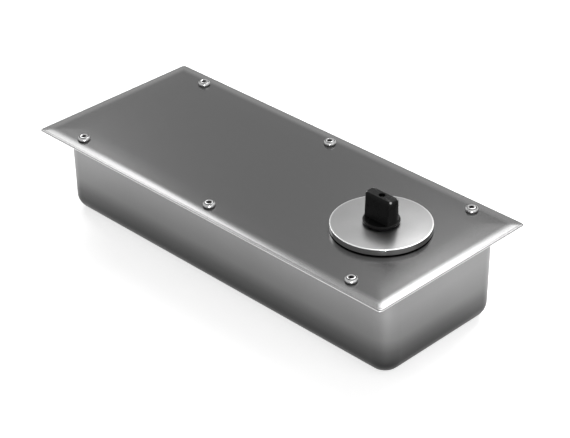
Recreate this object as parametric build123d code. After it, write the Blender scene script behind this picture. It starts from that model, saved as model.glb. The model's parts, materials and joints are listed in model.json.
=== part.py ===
from build123d import *
import os
from math import acos, asin, atan, atan2, cos, degrees, pi, radians, sin, sqrt, tan

# Underfloor door operator, in millimetres. Z points up out of the floor and X runs along the
# cover plate, towards the end nearer the spindle. The origin is on the spindle axis, level with
# the flat top of the cover plate. The drive is laid out first; the gearcase, the floor box and
# the cover plate are then sized to fit round it.

# Clearances
running = 0.05          # between a turning piece and what carries it
seating = 0.01          # between pieces pressed or pushed together
tooth_play = 0.12       # taken off each tooth's thickness

# Cover plate
plate_lap_end = 9.1     # plate beyond the box's end walls
plate_lap_side = 18.35  # and beyond its long walls
plate_sheet = 1.5
plate_corner = 3.0
edge_run = 6.2          # width of the rolled edge
edge_drop = 1.2         # how far it falls before the rim
edge_round = 28.0       # rounding where the flat top turns down
edge_lip = 0.9          # depth of the pocket under the rolled edge
shaft_hole_play = 3.5   # round the output shaft
screw_hole_play = 0.3
screw_pitch = 152.5     # along the plate
screw_count = 3         # on each long side
screw_inset = 14.15     # from the plate's long edge

# Floor box
side_room = 2.5         # gearcase flange to the box's long walls
near_room = 3.5         # gearcase flange to the end wall beside it
far_room = 14.5         # junction box to the other end wall
box_wall = 4.0
box_floor = 5.0
box_corner = 16.5
box_bottom_round = 14.0
box_draft = 0.63        # degrees
rim_inset = 7.5         # from the plate's edge to the box rim's edge
rim_thickness = 4.0
gasket_thickness = 1.5
boss_radius = 5.5
boss_depth = 3.0        # below the rim
gasket_inset = 1.0      # inside the rim's edge
gasket_lap = 0.5        # outside the box's inner wall

# M6 button-head screws
screw_radius = 3.0
head_radius = 5.25
head_height = 3.3
head_edge = 0.5         # height of the head's straight edge
hex_size = 4.0
hex_depth = 2.0

# Dust disc and spindle insert
disc_radius = 40.0
disc_gap = 1.5          # above the plate
disc_thickness = 4.8
disc_chamfer = 0.6
disc_crown = 0.5        # fall of the disc's top from its middle to its edge
collar_radius = 14.6
collar_height = 3.4
insert_height = 23.6    # above the disc
insert_radius = 13.4
flat_top = 9.6          # thickness across the flats at the top
flat_base = 12.8        # and at the collar
shank_square = 14.0
shank_length = 14.5     # into the shaft
insert_bore = 3.1
bore_depth = 7.0        # down to the spindle screw's seat
screw_core = 2.2        # of the spindle screw
screw_grip = 11.0       # its thread below the insert's shank
seal_outer = 21.5       # of the ring groove under the disc
seal_inner = 18.0
seal_groove = 2.0

# Output shaft and its bearings
shaft_radius = 12.5
journal_radius = 10.0
collar_step = 2.5       # the shaft's shoulder between wheel and stop arm
key_width = 8.0
key_height = 7.0
key_depth = 4.0         # into the shaft
bearing_width = 8.0
bearing_sink = 2.0      # upper bearing above the gearcase joint
ring_thickness = 3.0
roller_radius = 2.45
roller_count = 10
seal_width = 5.0
seal_radius = 20.0
seal_ledge = 1.0        # gearcase boss above the seal

# Bevel pair
bevel_module = 2.5
wheel_teeth = 36
pinion_teeth = 12
face_width = 14.0
pressure_angle = radians(20)
wheel_addendum = 1.5
pinion_addendum = 2.5
bevel_bottom_gap = 0.5
thickness_shift = 0.36  # moved from wheel tooth to pinion tooth

# Gearcase
cover_gap = 2.5         # cover plate to the gearcase boss
pinion_room = 2.0       # pinion's tips to the gearcase joint
wheel_room = 4.0        # bevel wheel's pitch circle to the gearcase wall
wheel_seat = 22.0       # drive axis down to the wheel's seat
case_wall = 4.0
case_floor = 3.0
case_rim = 8.5          # flange beyond the gearcase bore
case_flange_thickness = 8.0
case_cover_thickness = 5.0
case_boss_radius = 28.0
case_screw_inset = 4.7  # from the flange's edge
case_screw_radius = 2.5
case_screw_grip = 6.5
neck_radius = 19.0
neck_bore_lip = 13.0
drive_plate_thickness = 2.5
drive_plate_room = 3.0  # to the start of the box's bottom rounding
slot_inset = 9.0        # fixing slots from the drive plate's edge
slot_length = 12.0
slot_past_case = 10.5   # fixing slots beyond the gearcase flange
slot_past_motor = 4.0
unit_screw_inset = 13.0
unit_screw_radius = 2.5
unit_screw_length = 7.5

# Stop arm
swing_limit = 105.0     # degrees each way
arm_gap = 2.0           # below the gearcase joint
arm_thickness = 8.0
arm_radius = 33.0
arm_half_angle = 12.0
arm_hub = 18.0
buffer_radius = 4.0
buffer_circle = 29.0
buffer_gap = 0.3
buffer_grip = 3.0       # into the gearcase cover

# Planetary gearhead
planet_module = 1.25
sun_teeth = 12
planet_teeth = 12
ring_teeth = 36
planet_count = 3
gear_addendum = 1.0     # 0.8 of the module
ring_addendum = 0.7
gear_dedendum = 1.45
gearhead_radius = 32.0
carrier_radius = 20.5
carrier_thickness = 5.0
pin_radius = 2.5
planet_face_2 = 10.0
planet_face_1 = 7.0
stage_gap = 0.5
gearhead_wall = 4.0
gearhead_screw_inset = 3.8
gearhead_screw_radius = 2.0
gearhead_gap = 1.0      # to the drive plate
sun_stub = 3.5
pinion_bearing_width = 9.0
pinion_shaft_radius = 7.5
pinion_end_radius = 6.0
pinion_flat = 0.5       # cut from the pinion shaft's end to drive the carrier

# Motor
motor_radius = 30.0
motor_length = 90.0
motor_wall = 2.0
cap_thickness = 8.0
cap_spigot = 4.0
rotor_shaft_radius = 4.0
rotor_core_radius = 12.0
magnet_thickness = 2.2
magnet_count = 8
air_gap = 0.8
winding_room = 17.5     # each end of the stack to the end caps
stator_slots = 9
stator_tooth = 5.0
stator_yoke = 4.6
pole_height = 1.8
coil_thickness = 2.4
coil_overhang = 4.0
bush_radius = 8.0
bush_length = 7.0
sensor_radius = 22.0
sensor_length = 16.0
board_thickness = 1.6
board_radius = 18.0
board_post_circle = 14.0
board_post = 2.0
cradle_length = 14.0
cradle_height = 18.0
cradle_setback = 22.0   # from the motor can's far end
window_gap = 11.0       # drive plate's window to the cradle
window_start = 13.0     # before the motor
window_width = 50.0

# Junction box and cable gland
junction_length = 40.0
junction_width = 80.0
junction_height = 46.0
junction_wall = 2.0
junction_gap = 14.0     # from the sensor cover
lid_thickness = 4.0
lead_radius = 3.0
gland_bore = 4.5
gland_thread = 8.0
gland_hex = 22.0
gland_nut_height = 5.0
gland_cap_radius = 9.6
gland_cap_mouth = 7.0
gland_length = 18.0     # outside the box
gland_grip = 6.0        # thread past the box's inner wall
gland_pad = 13.0
pad_rise = 1.0          # pad proud of the wall, inside and out
terminal_count = 6
terminal_pitch = 9.0
terminal_depth = 16.0
terminal_height = 12.0
terminal_ridge = 4.0

# Bevel geometry
wheel_pitch = bevel_module * wheel_teeth / 2
pinion_pitch = bevel_module * pinion_teeth / 2
cone_distance = sqrt(wheel_pitch**2 + pinion_pitch**2)
wheel_angle = atan2(wheel_pitch, pinion_pitch)
pinion_angle = atan2(pinion_pitch, wheel_pitch)
small_end = 1 - face_width / cone_distance

# Levels, from the cover plate down through the drive to the underside of the box
flange_top = -plate_sheet - gasket_thickness
case_boss_top_z = -plate_sheet - cover_gap
upper_bearing_top = case_boss_top_z - seal_ledge - seal_width
upper_bearing_bottom = upper_bearing_top - bearing_width
case_top_z = upper_bearing_bottom - bearing_sink
arm_top_z = case_top_z - arm_gap
arm_bottom_z = arm_top_z - arm_thickness
axis_z = case_top_z - pinion_pitch - pinion_addendum - pinion_room
lower_bearing_top = axis_z - wheel_seat
case_inside = lower_bearing_top - bearing_width
case_bottom = min(case_inside - case_floor, axis_z - gearhead_radius - gearhead_gap)
plate_top_of_drive = case_bottom
floor_top = plate_top_of_drive - drive_plate_thickness
box_bottom = floor_top - box_floor
disc_bottom = disc_gap
disc_top = disc_gap + disc_thickness

# Gearcase radii, round the bevel wheel
case_radius = wheel_pitch + wheel_room
case_flange = case_radius + case_rim
case_screw_circle = case_flange - case_screw_inset
gearhead_screw_circle = gearhead_radius - gearhead_screw_inset

# Stations along the drive axis, counted from the spindle axis towards the motor
neck_start = case_radius - 2.0
bearing_start = case_radius + 3.0
bearing_end = bearing_start + 2 * pinion_bearing_width
neck_end = bearing_end + gearhead_wall
gearhead_start = neck_end
carrier_2_start = gearhead_start + gearhead_wall + 1.0
carrier_2_end = carrier_2_start + carrier_thickness
planet_2_start = carrier_2_end + stage_gap
planet_2_end = planet_2_start + planet_face_2
carrier_1_start = planet_2_end + stage_gap
carrier_1_end = carrier_1_start + carrier_thickness
planet_1_start = carrier_1_end + stage_gap
planet_1_end = planet_1_start + planet_face_1
gearhead_end = planet_1_end + 3.0
motor_start = gearhead_end + cap_thickness
motor_end = motor_start + motor_length
stack_start = motor_start + winding_room
stack_end = motor_end - winding_room
stack_length = stack_end - stack_start
cradle_place = motor_end - cradle_setback
sensor_start = motor_end + cap_thickness
sensor_end = sensor_start + sensor_length
junction_start = sensor_end + junction_gap
junction_end = junction_start + junction_length
planet_orbit = planet_module * (sun_teeth + planet_teeth) / 2

# Floor box and cover plate, round the drive
box_near = case_flange + near_room + box_wall
box_far = junction_end + far_room + box_wall
box_length = box_near + box_far
box_width = 2 * (case_flange + side_room + box_wall)
box_centre = (box_near - box_far) / 2
plate_length = box_length + 2 * plate_lap_end
plate_width = box_width + 2 * plate_lap_side

# Frames: the drive line runs towards -X, the bevel wheel hangs below the drive axis
drive = Plane(origin=(0, 0, axis_z), x_dir=(0, 0, 1), z_dir=(-1, 0, 0))
wheel_frame = Plane(origin=(0, 0, axis_z), x_dir=(1, 0, 0), z_dir=(0, 0, -1))


def turned(points):
    """A turned piece from its half section, given as radius and height."""
    return revolve(make_face(Plane.XZ * Polyline(*points, close=True)), Axis.Z)


def tube(outer, inner, low, high):
    """A plain ring or bush along Z."""
    return turned([(inner, low), (outer, low), (outer, high), (inner, high)])


def rod(radius, low, high):
    """A plain round bar along Z."""
    return Pos(0, 0, low) * extrude(Circle(radius), high - low)


def ring_of(shape, count, first=0.0):
    """Copies of a shape at equal angles about Z."""
    return [Rot(0, 0, first + 360 * k / count) * shape for k in range(count)]


def group(solids):
    """Separate solids that share one node."""
    return Compound(children=list(solids))


def plate_outline(inset, radius):
    """The cover plate's outline, drawn in by an inset."""
    return RectangleRounded(plate_length - 2 * inset, plate_width - 2 * inset, radius)


def box_outline(inset=0.0):
    return RectangleRounded(box_length - 2 * inset, box_width - 2 * inset, box_corner - inset)


def screw_places():
    """Where the cover screws stand."""
    side = plate_width / 2 - screw_inset
    middle = (screw_count - 1) / 2
    spots = []
    for k in range(screw_count):
        for y in (-side, side):
            spots.append((box_centre + (k - middle) * screw_pitch, y))
    return spots


# Floor box, gasket, cover plate and its screws


def floor_box():
    """The deep box set into the floor, with an out-turned rim that carries the plate."""
    depth = flange_top - box_bottom
    top = Pos(box_centre, 0, flange_top)
    outer = extrude(box_outline(), -depth, taper=box_draft)
    outer = fillet(outer.faces().sort_by(Axis.Z)[0].edges(), box_bottom_round)
    inner = extrude(box_outline(box_wall), -(depth - box_floor), taper=box_draft)
    inner = fillet(inner.faces().sort_by(Axis.Z)[0].edges(), box_bottom_round - box_wall)
    rim = extrude(plate_outline(rim_inset, box_corner), -rim_thickness)
    box = top * (outer + rim)
    boss = rod(boss_radius, flange_top - rim_thickness - boss_depth, flange_top)
    for x, y in screw_places():
        box += Pos(x, y, 0) * boss
    box -= top * inner
    box += gland_frame() * rod(gland_pad, -box_wall - 2 * pad_rise, 0)
    box -= gland_frame() * rod(gland_thread + seating, -box_wall - 2 * pad_rise, 0)
    for x, y in screw_places():
        hole = rod(screw_radius + seating, flange_top - rim_thickness - boss_depth, flange_top)
        box -= Pos(x, y, 0) * hole
    for x, y in drive_screw_places():
        box -= Pos(x, y, 0) * rod(screw_radius + seating, box_bottom + 1, floor_top)
    return box


def box_gasket():
    """The flat rubber frame between box rim and plate."""
    frame = plate_outline(rim_inset + gasket_inset, box_corner) - box_outline(box_wall + gasket_lap)
    sheet = Pos(box_centre, 0, flange_top) * extrude(frame, gasket_thickness)
    hole = rod(screw_radius + screw_hole_play, flange_top, flange_top + gasket_thickness)
    for x, y in screw_places():
        sheet -= Pos(x, y, 0) * hole
    return sheet


def cover_plate():
    """A pressed stainless plate whose edge is rolled over and turned down all round."""
    top = plate_outline(edge_run, plate_corner)
    full = plate_outline(0, plate_corner)
    slope = loft([Pos(0, 0, -edge_drop) * full, top], ruled=True)
    plate = slope + Pos(0, 0, -edge_drop - plate_sheet) * extrude(full, plate_sheet)
    crease = plate.faces().sort_by(Axis.Z)[-1].edges()
    plate = fillet(crease, edge_round)
    under_top = Pos(0, 0, -plate_sheet) * plate_outline(edge_run + 0.3, plate_corner)
    under_full = plate_outline(plate_sheet, plate_corner - 1)
    plate -= loft([Pos(0, 0, -edge_drop - edge_lip) * under_full, under_top], ruled=True)
    plate -= Pos(0, 0, -edge_drop - plate_sheet) * extrude(under_full, plate_sheet - edge_lip)
    plate = Pos(box_centre, 0, 0) * plate
    for x, y in screw_places():
        plate -= Pos(x, y, 0) * rod(screw_radius + screw_hole_play, -plate_sheet, 0)
    return plate - rod(shaft_radius + shaft_hole_play, -plate_sheet, 0)


def button_screw(length):
    """A domed socket screw whose head sits at z = 0."""
    flat = head_radius / 2
    shoulder = (head_radius * 0.82, head_height * 0.7)
    dome = Plane.XZ * make_face([
        Line((0, 0), (head_radius, 0)),
        Line((head_radius, 0), (head_radius, head_edge)),
        ThreePointArc((head_radius, head_edge), shoulder, (flat, head_height)),
        Line((flat, head_height), (0, head_height)),
        Line((0, head_height), (0, 0)),
    ])
    screw = revolve(dome, Axis.Z) + rod(screw_radius, -length, 0)
    socket = RegularPolygon(hex_size / 2, 6, major_radius=False)
    return screw - Pos(0, 0, head_height - hex_depth) * extrude(socket, hex_depth)


def cover_screws():
    screw = button_screw(plate_sheet + gasket_thickness + rim_thickness + boss_depth - 1)
    return group([Pos(x, y, 0) * screw for x, y in screw_places()])


# Drive plate and the fixings that hold the unit in the box


def drive_screw_places():
    """Four screws, clear of the gearcase and beside the motor."""
    side = drive_plate_width() / 2 - slot_inset
    near = -case_flange - slot_past_case
    far = -sensor_start - slot_past_motor
    return [(x, y) for x in (near, far) for y in (-side, side)]


def unit_screw_places():
    """Four screws under the gearcase and two under the cradle."""
    circle = case_radius - unit_screw_inset
    spots = [(circle * cos(radians(a)), circle * sin(radians(a))) for a in (45, 135, 225, 315)]
    side = motor_radius - 8
    return spots + [(-cradle_place, y) for y in (-side, side)]


def drive_plate_width():
    return box_width - 2 * (box_bottom_round + drive_plate_room)


def drive_plate():
    """The steel plate that carries gearcase, motor and junction box."""
    low = -junction_end - 1
    high = box_near - box_bottom_round - drive_plate_room
    sheet = extrude(RectangleRounded(high - low, drive_plate_width(), 8), drive_plate_thickness)
    sheet = Pos((low + high) / 2, 0, floor_top) * sheet
    window_low = window_gap - cradle_place
    window_high = window_start - motor_start
    window = RectangleRounded(window_high - window_low, window_width, 10)
    sheet -= Pos((window_low + window_high) / 2, 0, floor_top) * extrude(window, drive_plate_thickness)
    slot = extrude(SlotOverall(slot_length, 2 * (screw_radius + screw_hole_play)), drive_plate_thickness)
    for x, y in drive_screw_places():
        sheet -= Pos(x, y, floor_top) * slot
    for x, y in unit_screw_places():
        sheet -= Pos(x, y, floor_top) * countersunk_body(seating)
    return sheet


def countersunk_body(grow=0.0):
    """An M5 countersunk screw from below, head flush with the plate's underside."""
    head = 4.6 + grow
    shank = unit_screw_radius + grow
    rim = 0.3
    return turned([
        (0, 0), (head, 0), (head, rim), (shank, rim + head - shank),
        (shank, unit_screw_length), (0, unit_screw_length),
    ])


def unit_screws():
    screw = countersunk_body() - extrude(RegularPolygon(1.5, 6, major_radius=False), 1.8)
    return group([Pos(x, y, floor_top) * screw for x, y in unit_screw_places()])


def drive_plate_screws():
    """Cap screws through the slots, so the unit can be lined up in the box."""
    head = rod(5.0, 1.6, 6.6) - Pos(0, 0, 4.1) * extrude(RegularPolygon(2.5, 6, major_radius=False), 2.5)
    washer = rod(7.5, 0, 1.6)
    screw = head + washer + rod(screw_radius, -drive_plate_thickness - box_floor + 1.2, 0)
    return group([Pos(x, y, plate_top_of_drive) * screw for x, y in drive_screw_places()])


# Gearcase


def gearcase_body():
    """A round bowl for the bevel wheel, with a neck for the pinion bearings."""
    outer = case_radius + case_wall
    bowl = turned([
        (0, case_bottom), (outer - 3, case_bottom), (outer, case_bottom + 3),
        (outer, case_top_z - case_flange_thickness - 2),
        (case_flange, case_top_z - case_flange_thickness), (case_flange, case_top_z), (0, case_top_z),
    ])
    neck = rod(neck_radius, neck_start, neck_end)
    neck += rod(gearhead_radius, neck_end - 6, neck_end)
    hollow = rod(case_radius, case_inside, case_top_z)
    ring_seat = lower_ring_outer() + ring_thickness + 1
    inside = rod(ring_seat, case_inside, lower_bearing_top - 0.5)
    for x, y in unit_screw_places()[:4]:
        inside += Pos(x, y, 0) * rod(5.5, case_inside, case_inside + 5.5)
    lip = drive * rod(neck_radius, neck_start, bearing_start)
    case = bowl + drive * neck - hollow + inside + lip
    case -= rod(lower_ring_outer() + ring_thickness + seating, case_inside, lower_bearing_top)
    case -= drive * rod(neck_bore_lip, neck_start, bearing_start)
    case -= drive * rod(pinion_bearing_outer() + seating, bearing_start, neck_end)
    for x, y in unit_screw_places()[:4]:
        case -= Pos(x, y, 0) * rod(unit_screw_radius + seating, case_bottom, case_bottom + 6)
    for spot in case_screw_spots():
        case -= spot * rod(case_screw_radius + seating, case_top_z - case_screw_grip - 0.5, case_top_z)
    for spot in gearhead_screw_spots():
        case -= drive * (spot * rod(gearhead_screw_radius + seating, neck_end - 6, neck_end))
    return case


def lower_ring_outer():
    """Inside radius of a journal bearing's outer ring."""
    return journal_radius + ring_thickness + 2 * (roller_radius + running)


def upper_ring_outer():
    return shaft_radius + ring_thickness + 2 * (roller_radius + running)


def pinion_bearing_outer():
    return pinion_shaft_radius + 8.5


def case_screw_spots():
    return [Rot(0, 0, 30 + 60 * k) * Pos(case_screw_circle, 0, 0) for k in range(6)]


def gearhead_screw_spots():
    return [Rot(0, 0, 45 + 90 * k) * Pos(gearhead_screw_circle, 0, 0) for k in range(4)]


def gearcase_cover():
    """The lid of the bowl, with the upper bearing and the shaft seal in its boss."""
    top = case_top_z + case_cover_thickness
    cover = turned([
        (0, case_top_z), (case_flange, case_top_z), (case_flange, top - 1), (case_flange - 1, top),
        (case_boss_radius + 3, top), (case_boss_radius, top + 3),
        (case_boss_radius, case_boss_top_z), (0, case_boss_top_z),
    ])
    cover -= rod(upper_ring_outer() + ring_thickness + seating, case_top_z, upper_bearing_top)
    cover -= rod(seal_radius + seating, upper_bearing_top, case_boss_top_z)
    for spot in case_screw_spots():
        cover -= spot * rod(case_screw_radius + screw_hole_play, case_top_z, top)
    for x, y in buffer_places():
        cover -= Pos(x, y, 0) * rod(buffer_radius + seating, case_top_z, case_top_z + buffer_grip)
    return cover


def gearcase_screws():
    top = case_top_z + case_cover_thickness
    socket = extrude(RegularPolygon(2, 6, major_radius=False), 2)
    head = rod(4.2, top, top + 3.5) - Pos(0, 0, top + 1.5) * socket
    screw = head + rod(case_screw_radius, case_top_z - case_screw_grip, top)
    return group([spot * screw for spot in case_screw_spots()])


# Output shaft, bearings, seals and stop


def output_shaft():
    """The vertical shaft, with a square socket in its top for the spindle insert."""
    shoulder = shaft_radius + collar_step
    foot = case_inside + 0.3
    shaft = turned([
        (0, foot), (journal_radius - 1, foot), (journal_radius, foot + 1),
        (journal_radius, lower_bearing_top), (shaft_radius, lower_bearing_top),
        (shaft_radius, wheel_top_z()),
        (shoulder, wheel_top_z()), (shoulder, arm_bottom_z), (shaft_radius, arm_bottom_z),
        (shaft_radius, disc_bottom), (0, disc_bottom),
    ])
    socket_floor = disc_bottom - shank_length - 1
    shaft -= Pos(0, 0, socket_floor) * extrude(Rectangle(shank_square, shank_square), shank_length + 1)
    shaft -= rod(screw_core, socket_floor - screw_grip - 1, socket_floor)
    return shaft - wheel_key() - arm_key()


def wheel_top_z():
    return axis_z - 9.5


def key(low, high):
    """A parallel key on the shaft's +X side."""
    middle = shaft_radius - key_depth + key_height / 2
    return Pos(middle, 0, (low + high) / 2) * Box(key_height, key_width, high - low)


def wheel_key():
    return key(lower_bearing_top + 1, wheel_top_z())


def arm_key():
    return key(arm_bottom_z, upper_bearing_bottom - 1)


def shaft_keys():
    return group([wheel_key(), arm_key()])


def roller_bearing(bore, low):
    """Outer ring, inner ring and rollers with their cage, for a bore radius."""
    race = bore + ring_thickness
    outer_race = race + 2 * (roller_radius + running)
    high = low + bearing_width
    outer = tube(outer_race + ring_thickness, outer_race, low, high)
    inner = tube(race, bore, low, high)
    orbit = (race + outer_race) / 2
    roller = Pos(orbit, 0, 0) * rod(roller_radius, low + 1, high - 1)
    cage = tube(orbit + 1.2, orbit - 1.2, low + 0.2, low + 1)
    rollers = group(ring_of(roller, roller_count) + [cage])
    return outer, inner, rollers


def sealed_bearing(start):
    """A bearing with pressed shields that close it on both sides."""
    outer = pinion_bearing_outer()
    inner = pinion_shaft_radius + 2.5
    shield = inner + running
    end = start + pinion_bearing_width
    body = turned([
        (shield, start + 0.2), (outer - 3, start + 0.2), (outer - 3, start), (outer, start),
        (outer, end), (outer - 3, end), (outer - 3, end - 0.2), (shield, end - 0.2),
        (shield, end - 0.8), (outer - 3, end - 0.8), (outer - 3, start + 0.8), (shield, start + 0.8),
    ])
    return body, tube(inner, pinion_shaft_radius, start, end)


def shaft_seal():
    """A lip seal in the top of the gearcase boss."""
    low = upper_bearing_top
    lip = shaft_radius + running
    return turned([
        (lip, low + 1), (lip + 1.5, low), (lip + 1.5, low + 3), (seal_radius - 1.5, low + 3),
        (seal_radius - 1.5, low), (seal_radius, low), (seal_radius, low + seal_width),
        (lip + 0.5, low + seal_width), (lip + 0.5, low + 2),
    ])


def stop_arm():
    """The arm that meets a buffer at each end of the swing."""
    hub = rod(arm_hub, arm_bottom_z, arm_top_z) + rod(shaft_radius + 3, arm_top_z, upper_bearing_bottom)
    reach = arm_radius / cos(radians(arm_half_angle))
    edge = reach * sin(radians(arm_half_angle))
    sector = make_face(Polyline((0, 0), (arm_radius, -edge), (arm_radius, edge), close=True))
    wedge = extrude(sector, arm_thickness)
    wedge = wedge & extrude(Circle(arm_radius), arm_thickness)
    arm = hub + Pos(0, 0, arm_bottom_z) * wedge
    arm -= rod(shaft_radius, arm_bottom_z, upper_bearing_bottom)
    return arm - arm_key()


def buffer_places():
    """Both buffers, a small gap past the arm's flanks at the end of its swing."""
    lead = degrees(asin((buffer_radius + buffer_gap) / buffer_circle))
    angle = swing_limit + arm_half_angle + lead
    spots = []
    for side in (-1, 1):
        spots.append((buffer_circle * cos(radians(angle)), side * buffer_circle * sin(radians(angle))))
    return spots


def stop_buffers():
    pin = rod(buffer_radius, arm_bottom_z - 1, case_top_z + buffer_grip)
    return group([Pos(x, y, 0) * pin for x, y in buffer_places()])


# Dust disc and spindle insert


def dust_disc():
    """The turned disc that covers the shaft's opening and turns with it."""
    edge_top = disc_top - disc_crown
    disc = turned([
        (0, disc_bottom), (disc_radius - 0.5, disc_bottom), (disc_radius, disc_bottom + 0.5),
        (disc_radius, edge_top - disc_chamfer), (disc_radius - disc_chamfer, edge_top),
        (collar_radius + 1, disc_top), (0, disc_top),
    ])
    disc -= tube(seal_outer, seal_inner, disc_bottom, disc_bottom + seal_groove)
    return disc - Pos(0, 0, disc_bottom) * extrude(Rectangle(shank_square, shank_square), disc_thickness)


def disc_seal():
    """A rubber ring under the disc, with a lip that wipes the plate."""
    groove_top = disc_bottom + seal_groove
    lip_root = disc_bottom - 0.4
    return turned([
        (seal_inner, groove_top), (seal_inner, lip_root), (seal_inner + 1, lip_root),
        (seal_outer + 0.4, running), (seal_outer + 0.9, running), (seal_outer, lip_root),
        (seal_outer, groove_top),
    ])


def spindle_insert():
    """The exchangeable flat-conical spindle, with a square shank into the shaft."""
    top = disc_top + insert_height
    shoulder = disc_top + collar_height
    collar = turned([
        (0, disc_top), (collar_radius - 1.6, disc_top), (collar_radius, disc_top + 1.4),
        (collar_radius, disc_top + 2.2), (insert_radius + 0.2, shoulder), (0, shoulder),
    ])
    body = turned([
        (0, disc_top), (insert_radius + 0.2, shoulder - 1), (insert_radius, top - 0.8),
        (insert_radius - 0.8, top), (0, top),
    ])
    sides = make_face(Plane.YZ * Polyline(
        (-flat_base / 2, shoulder - 1), (flat_base / 2, shoulder - 1),
        (flat_top / 2, top - 0.6), (flat_top / 2 - 0.6, top), (-flat_top / 2 + 0.6, top),
        (-flat_top / 2, top - 0.6), close=True))
    insert = collar + (body & extrude(sides, collar_radius, both=True))
    side = shank_square - 2 * seating
    shank = extrude(Rectangle(side, side), shank_length + disc_thickness)
    insert += Pos(0, 0, disc_bottom - shank_length) * shank
    insert -= rod(screw_core + 0.3, disc_bottom - shank_length, top)
    return insert - rod(insert_bore, screw_seat(), top)


def screw_seat():
    """Level that the spindle screw's head bears on."""
    return disc_top + insert_height - bore_depth


def spindle_screw():
    head = rod(insert_bore - 0.1, screw_seat(), screw_seat() + 4)
    head -= Pos(0, 0, screw_seat() + 1.8) * extrude(RegularPolygon(1.5, 6, major_radius=False), 2.2)
    return head + rod(screw_core - seating, disc_bottom - shank_length - screw_grip, screw_seat())


# Bevel pair: every tooth surface runs to the point where the two axes cross


def involute(angle):
    return tan(angle) - angle


def bevel_tooth(pitch, cone_angle, addendum, dedendum, thickness, low, high):
    """One straight bevel tooth along Z, from its shape on the back cone."""
    virtual = pitch / cos(cone_angle)
    base = virtual * cos(pressure_angle)
    start = thickness / (2 * virtual) + involute(pressure_angle)
    right, left = [], []
    for step in range(4):
        rise = -dedendum - 0.4 + (addendum + dedendum + 0.6) * step / 3
        radius = virtual + rise
        half = start - involute(acos(min(1.0, base / max(base, radius))))
        turn = half * radius / (pitch + rise * cos(cone_angle))
        reach = tan(cone_angle + atan(rise / cone_distance))
        right.append((reach * cos(turn), -reach * sin(turn)))
        left.append((reach * cos(turn), reach * sin(turn)))
    outline = right + left[::-1]
    ends = []
    for height in (low, high):
        points = [(height * x, height * y) for x, y in outline]
        ends.append(Pos(0, 0, height) * make_face(Polyline(*points, close=True)))
    return loft(ends, ruled=True)


def bevel_blank(pitch, cone_angle, addendum, dedendum):
    """Corners of the tooth zone in half section: tip and root, at the large and small end."""
    large = pitch / tan(cone_angle)
    tip = (pitch + addendum * cos(cone_angle), large - addendum * sin(cone_angle))
    root = (pitch - dedendum * cos(cone_angle), large + dedendum * sin(cone_angle))
    small = [(small_end * r, small_end * h) for r, h in (tip, root)]
    return tip, root, small[0], small[1]


def bevel_teeth(pitch, teeth, cone_angle, addendum, dedendum, thickness, first):
    """All the teeth of a bevel gear, cut to the zone between their end cones."""
    tip, root, small_tip, small_root = bevel_blank(pitch, cone_angle, addendum, dedendum)
    sink = 0.3
    down = (-sink * cos(cone_angle), sink * sin(cone_angle))
    zone = turned([
        small_tip, tip, (root[0] + down[0], root[1] + down[1]),
        (small_root[0] + down[0], small_root[1] + down[1]),
    ])
    heights = [small_tip[1], tip[1], root[1] + down[1], small_root[1] + down[1]]
    low = min(heights) - 0.5
    high = max(heights) + 0.5
    tooth = bevel_tooth(pitch, cone_angle, addendum, dedendum, thickness, low, high)
    return ring_of(tooth & zone, teeth, first)


def bevel_wheel():
    """The large bevel wheel, keyed to the output shaft."""
    dedendum = pinion_addendum + bevel_bottom_gap
    tip, root, small_tip, small_root = bevel_blank(wheel_pitch, wheel_angle, wheel_addendum, dedendum)
    hub_top = axis_z - wheel_top_z()
    hub_bottom = axis_z - lower_bearing_top
    body = turned([
        (shaft_radius, hub_top), (shaft_radius + 6.5, hub_top), (shaft_radius + 8.5, hub_top + 3),
        (shaft_radius + 11.5, small_root[1] + 0.6), small_root, root,
        (root[0], hub_bottom - 0.6), (journal_radius + ring_thickness, hub_bottom - 0.6),
        (journal_radius + ring_thickness, hub_bottom), (shaft_radius, hub_bottom),
    ])
    thickness = bevel_module * pi / 2 - thickness_shift - tooth_play
    first = 180 + 180 / wheel_teeth
    teeth = bevel_teeth(wheel_pitch, wheel_teeth, wheel_angle, wheel_addendum, dedendum, thickness, first)
    return wheel_frame * (body + teeth) - wheel_key()


def bevel_pinion():
    """The pinion, cut in one piece with its shaft."""
    dedendum = wheel_addendum + bevel_bottom_gap
    tip, root, small_tip, small_root = bevel_blank(pinion_pitch, pinion_angle, pinion_addendum, dedendum)
    body = turned([
        (0, small_root[1]), small_root, root,
        (neck_bore_lip - 2, root[1] + 1), (neck_bore_lip - 2, bearing_start),
        (pinion_shaft_radius, bearing_start), (pinion_shaft_radius, bearing_end),
        (pinion_end_radius, bearing_end), (pinion_end_radius, carrier_2_end), (0, carrier_2_end),
    ])
    thickness = bevel_module * pi / 2 + thickness_shift - tooth_play
    teeth = bevel_teeth(pinion_pitch, pinion_teeth, pinion_angle, pinion_addendum, dedendum, thickness, 0)
    pinion = body + teeth
    return drive * (pinion - shaft_flat())


def shaft_flat():
    """What the flat on the pinion shaft's end takes away."""
    depth = 8.0
    middle = pinion_end_radius - pinion_flat + depth / 2
    return Pos(middle, 0, carrier_2_start + carrier_thickness / 2) * Box(depth, 14, carrier_thickness)


# Planetary gearhead


def spur_half_angle(radius, teeth, thickness):
    """Half the angle that a tooth takes at a radius."""
    pitch = planet_module * teeth / 2
    base = pitch * cos(pressure_angle)
    inside = acos(min(1.0, base / max(base, radius)))
    return thickness / (2 * pitch) + involute(pressure_angle) - involute(inside)


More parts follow.
